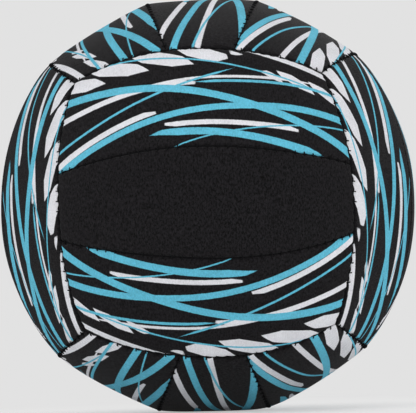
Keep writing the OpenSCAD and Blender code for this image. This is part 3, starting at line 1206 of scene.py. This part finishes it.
def sew(name, arcs, turn, tree, material):
    """Sews two seams, and returns the stitched thread as a plain mesh."""
    _, stitches, _, _ = settings()
    lines, count = seam_lines(f"{name}_lines", arcs, turn, stitches)
    carrier = new_object(f"{name}_lines", lines)
    modifier = carrier.modifiers.new("sewing", "NODES")
    modifier.node_group = tree
    values = {
        "Stitches": count, "Thread Radius": stitches.thread / 2, "Reach": stitches.reach,
        "Cord Radius": stitches.cord / 2, "Cord Depth": stitches.cord_depth,
        "Cord Dip": stitches.cord_dip, "Stitch Depth": stitches.sunk,
        "Arch": stitches.arch, "Seed": stitches.seed, "Thread": material,
    }
    for item in tree.interface.items_tree:
        if item.in_out == "INPUT" and item.name in values:
            modifier[item.identifier] = values[item.name]
    mesh = evaluated_mesh(carrier, name)
    carrier.modifiers.remove(modifier)
    bpy.data.objects.remove(carrier)
    return mesh


class Stitches(bpy.types.Operator):
    """Sews the seams between strips and between faces"""

    bl_idname = "sewn_ball.stitches"
    bl_label = "Stitches"

    def execute(self, context):
        shape, _, colours, _ = settings()
        layout = Layout(shape)
        seams = {
            "strip": (layout.strip_seam, layout.low_strip_seam),
            "edge": (layout.end_edge, layout.far_end_edge),
        }
        material = thread_material(colours)
        tree = stitch_tree()
        for face, turn in FACE_TURNS.items():
            for kind, arcs in seams.items():
                node = f"{face}_{kind}_thread"
                mesh = sew(node, arcs, turn, tree, material)
                finished(f"{face}_{kind}_stitches", mesh, node, material)
        return {"FINISHED"}


# ---- Valve ----

# The neck: the radii of its wall, its bore and its stem, and how far its corners are rounded
NECK_RADIUS = 5.0 * MM
BORE_RADIUS = 2.55 * MM
STEM_RADIUS = 7.0 * MM
NECK_ROUNDING = 0.4 * MM
# The neck's flange, which lies this far above the bladder's outside. The stem's shoulder lies as far
# below it, and the neck's foot as far below the flange's top
FLANGE_GAP = 0.1 * MM
FLANGE_THICKNESS = 1.2 * MM
# The plug: the gap round it, the height of its head, the width and depth of the bevel round its rim
PLUG_GAP = 0.05 * MM
PLUG_HEAD = 1.5 * MM
RIM_BEVEL = (0.3 * MM, 0.25 * MM)
# The needle's passage in the plug, the bevel at its mouth, and how far the face dips to the mouth
NEEDLE_RADIUS = 1.0 * MM
NEEDLE_DEPTH = 14 * MM
MOUTH_BEVEL = 0.5 * MM
MOUTH_DIP = 0.05 * MM
# No rounded corner takes more than this share of an edge
LONGEST_CUT = 0.45
# How much paler the plug is than the neck, and the colour of the bladder
PLUG_GAIN = 1.6
BLADDER_COLOUR = (0.045, 0.045, 0.047)


def revolved(name, profile, segments):
    """A closed body of revolution about +Y, from a profile of (radius, place along Y)."""
    points, faces, rings = [], [], []
    for radius, y in profile:
        if radius == 0:
            rings.append([len(points)] * segments)
            points.append((0, y, 0))
            continue
        rings.append(list(range(len(points), len(points) + segments)))
        for k in range(segments):
            angle = 2 * math.pi * k / segments
            points.append((radius * math.sin(angle), y, radius * math.cos(angle)))
    bands = zip(rings, rings[1:] + rings[:1]) if profile[0][0] else zip(rings, rings[1:])
    for low, high in bands:
        for k in range(segments):
            face = list(dict.fromkeys([low[k - 1], low[k], high[k], high[k - 1]]))
            if len(face) > 2:
                faces.append(face)
    mesh = new_mesh(name, points, [], faces)
    mesh.shade_smooth()
    return mesh


def rounded(corners, radius, steps=5):
    """The corners of a closed profile, each replaced by a small curve."""
    done = []
    for i, corner in enumerate(corners):
        here = np.array(corner, float)
        before = np.array(corners[i - 1], float) - here
        after = np.array(corners[(i + 1) % len(corners)], float) - here
        cut = min(radius, LONGEST_CUT * np.linalg.norm(before), LONGEST_CUT * np.linalg.norm(after))
        a = here + before / np.linalg.norm(before) * cut
        b = here + after / np.linalg.norm(after) * cut
        for t in np.linspace(0, 1, steps + 1):
            done.append(tuple((1 - t) ** 2 * a + 2 * t * (1 - t) * here + t * t * b))
    return done


def neck_profile():
    """The valve's neck, its flange on the bladder and its stem inside."""
    seat = PLUG_RADIUS + PLUG_GAP
    low = BLADDER_RADIUS + FLANGE_GAP
    top = low + FLANGE_THICKNESS
    sag = BLADDER_RADIUS - math.sqrt(BLADDER_RADIUS**2 - VALVE_FLANGE**2)
    return [
        (BORE_RADIUS, VALVE_FLOOR), (STEM_RADIUS, VALVE_FLOOR), (STEM_RADIUS, BLADDER_RADIUS - FLANGE_GAP),
        (VALVE_FLANGE, low - sag), (VALVE_FLANGE, top - sag), (NECK_RADIUS, top - FLANGE_GAP),
        (NECK_RADIUS, VALVE_FACE), (seat, VALVE_FACE), (seat, VALVE_FACE - PLUG_HEAD),
        (BORE_RADIUS, VALVE_FACE - PLUG_HEAD),
    ]


def core_profile():
    """The plug, with its head and the needle's passage."""
    inner = BORE_RADIUS - PLUG_GAP
    under_head = VALVE_FACE - PLUG_HEAD + PLUG_GAP
    rim_width, rim_depth = RIM_BEVEL
    return [
        (0, VALVE_FLOOR), (inner, VALVE_FLOOR), (inner, under_head), (PLUG_RADIUS, under_head),
        (PLUG_RADIUS, VALVE_FACE - rim_depth), (PLUG_RADIUS - rim_width, VALVE_FACE),
        (NEEDLE_RADIUS + MOUTH_BEVEL, VALVE_FACE - MOUTH_DIP), (NEEDLE_RADIUS, VALVE_FACE - MOUTH_BEVEL),
        (NEEDLE_RADIUS, VALVE_FACE - NEEDLE_DEPTH), (0, VALVE_FACE - NEEDLE_DEPTH),
    ]


class Valve(bpy.types.Operator):
    """Makes the valve's neck and its plug, and finishes the pieces inside the ball"""

    bl_idname = "sewn_ball.valve"
    bl_label = "Valve"

    def execute(self, context):
        _, _, colours, _ = settings()
        plug_colour = [PLUG_GAIN * c for c in colours.rubber]
        rubber = rubber_material("valve_rubber", colours.rubber, roughness=0.62)
        soft = rubber_material("plug_rubber", plug_colour, roughness=0.5)
        neck = revolved("valve_neck", rounded(neck_profile(), NECK_ROUNDING), segments=64)
        finished("valve_neck", neck, "valve_body", rubber)
        core = revolved("valve_core", core_profile(), segments=48)
        finished("valve_core", core, "valve_plug", soft)
        inside = {
            "bladder": rubber_material("bladder_rubber", BLADDER_COLOUR, roughness=0.5),
            "valve_patch": patch_material(),
        }
        for node, material in inside.items():
            dress(frame["nodes"][node].data, material)
        return {"FINISHED"}


# ---- Studio ----

# Square lamps that look at the ball: place and side in metres, and power in watts
LAMPS = {
    "key": ((-0.4, -2.0, 1.3), 1.5, 4.2),
    "top": ((0.1, -0.1, 2.1), 1.6, 15),
    "fill_low": ((0.2, -2.1, 0.0), 1.6, 29),
    "fill_left": ((-2.1, -0.9, 0.3), 1.4, 22),
    "fill_right": ((2.1, -0.9, 0.3), 1.4, 19),
    "rear": ((0.4, 2.0, 1.2), 1.4, 22),
}
# Strength of the white light from all round
WORLD_LIGHT = 0.26
# The floor: half its side, its own finish, how far from the ball's middle it starts and ends fading
# into the backdrop, and the share of the backdrop's colour that it shows before that
FLOOR_HALF = 4.0
FLOOR_FINISH = {"Base Color": (0.92, 0.92, 0.92, 1.0), "Roughness": 0.9}
FADE_FROM, FADE_TO = 0.08, 0.32
SHARE_BESIDE = 0.55
# The camera: its sensor's width in millimetres, and how far it stands above the ball's middle
SENSOR_WIDTH = 36
CAMERA_RISE = -0.38 * MM


def area_light(name, place, size, power):
    """A soft square lamp that looks at the ball."""
    lamp = bpy.data.lights.new(name, "AREA")
    lamp.shape = "SQUARE"
    lamp.size = size
    lamp.energy = power
    made = new_object(name, lamp)
    made.location = place
    made.rotation_euler = (-Vector(place)).to_track_quat("-Z", "Y").to_euler()


def seen_rays(s):
    """1 for rays that show the studio itself: straight from the camera, in gloss and through glass."""
    rays = s.node("ShaderNodeLightPath").outputs
    shown = s.math("MAXIMUM", rays["Is Camera Ray"], rays["Is Glossy Ray"])
    return s.math("MAXIMUM", shown, rays["Is Transmission Ray"])


class Studio(bpy.types.Operator):
    """Makes the floor, the light and the camera"""

    bl_idname = "sewn_ball.studio"
    bl_label = "Studio"

    def execute(self, context):
        _, _, colours, studio = settings()
        shown = opaque(colours.studio)
        self.make_floor(shown)
        self.make_world(context.scene, shown)
        for name, (place, size, power) in LAMPS.items():
            area_light(name, place, size, power)
        self.make_camera(context.scene, studio)
        context.scene.view_settings.view_transform = "Standard"
        return {"FINISHED"}

    def make_floor(self, shown):
        """A pale floor under the ball, which shows as the backdrop's colour further out."""
        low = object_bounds()[0].z
        sides = ((-1, -1), (1, -1), (1, 1), (-1, 1))
        corners = [(x * FLOOR_HALF, y * FLOOR_HALF, low) for x, y in sides]
        mesh = new_mesh("floor", corners, [], [(0, 1, 2, 3)])
        material, s, _ = new_material("studio_floor", FLOOR_FINISH)
        glow = s.node("ShaderNodeEmission", {"Color": shown, "Strength": 1.0})
        away = s.vector("LENGTH", s.object_place())
        share = s.math("MULTIPLY", seen_rays(s), s.eased(away, FADE_FROM, FADE_TO, SHARE_BESIDE, 1.0))
        surface = s.tree.nodes["Material Output"].inputs["Surface"]
        lit = surface.links[0].from_socket
        s.put(surface, s.node("ShaderNodeMixShader", {0: share, 1: lit, 2: glow.outputs[0]}).outputs[0])
        dress(mesh, material)
        floor = new_object("floor", mesh)
        floor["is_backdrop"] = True

    def make_world(self, scene, shown):
        """White light from all round, behind a plain backdrop."""
        world = bpy.data.worlds.new("studio")
        scene.world = world
        world.use_nodes = True
        world.node_tree.nodes.clear()
        s = Shader(world.node_tree)
        backdrop = s.node("ShaderNodeBackground", {"Color": shown, "Strength": 1.0})
        light = s.node("ShaderNodeBackground", {"Color": (1, 1, 1, 1), "Strength": WORLD_LIGHT})
        mixed = s.node("ShaderNodeMixShader", {0: seen_rays(s), 1: light.outputs[0], 2: backdrop.outputs[0]})
        s.node("ShaderNodeOutputWorld", {"Surface": mixed.outputs[0]})

    def make_camera(self, scene, studio):
        """The camera, turned the other way round where the ball is turned in the view."""
        data = bpy.data.cameras.new("camera")
        data.lens = studio.lens
        data.sensor_width = SENSOR_WIDTH
        data.clip_start, data.clip_end = 0.1, 20
        camera = new_object("camera", data)
        turn = (
            Matrix.Rotation(studio.yaw, 3, "Z")
            @ Matrix.Rotation(studio.pitch, 3, "X")
            @ Matrix.Rotation(studio.roll, 3, "Y")
        ).transposed()
        place = turn @ Vector((0, -studio.distance, CAMERA_RISE))
        camera.matrix_world = Matrix.Translation(place) @ (turn @ FRONT).to_4x4()
        scene.camera = camera


# ---- The sidebar, and the run ----


class SewnBallPanel(bpy.types.Panel):
    """Lists the steps that make the ball"""

    bl_idname = "VIEW3D_PT_sewn_ball"
    bl_label = "Sewn Ball"
    bl_space_type = "VIEW_3D"
    bl_region_type = "UI"
    bl_category = "Sewn Ball"

    def draw(self, context):
        for step in STEPS:
            self.layout.operator(step.bl_idname)
        for group in GROUPS:
            box = self.layout.box()
            owner = getattr(context.scene, group)
            for name in owner.bl_rna.properties.keys():
                if name not in ("name", "rna_type"):
                    box.prop(owner, name)


GROUPS = {
    "ball_shape": BallShape,
    "ball_stitches": StitchShape,
    "ball_colours": BallColours,
    "ball_studio": BallStudio,
}
STEPS = (CentrePanels, OuterPanels, Stitches, Valve, Studio)


def register():
    for kind in (*GROUPS.values(), *STEPS, SewnBallPanel):
        bpy.utils.register_class(kind)
    for name, kind in GROUPS.items():
        setattr(bpy.types.Scene, name, PointerProperty(type=kind))


def unregister():
    for name in GROUPS:
        delattr(bpy.types.Scene, name)
    for kind in reversed((*GROUPS.values(), *STEPS, SewnBallPanel)):
        bpy.utils.unregister_class(kind)


def main():
    """Makes the ball."""
    register()
    bpy.ops.sewn_ball.centre_panels()
    bpy.ops.sewn_ball.outer_panels()
    bpy.ops.sewn_ball.stitches()
    bpy.ops.sewn_ball.valve()
    bpy.ops.sewn_ball.studio()


if __name__ == "__main__":
    main()
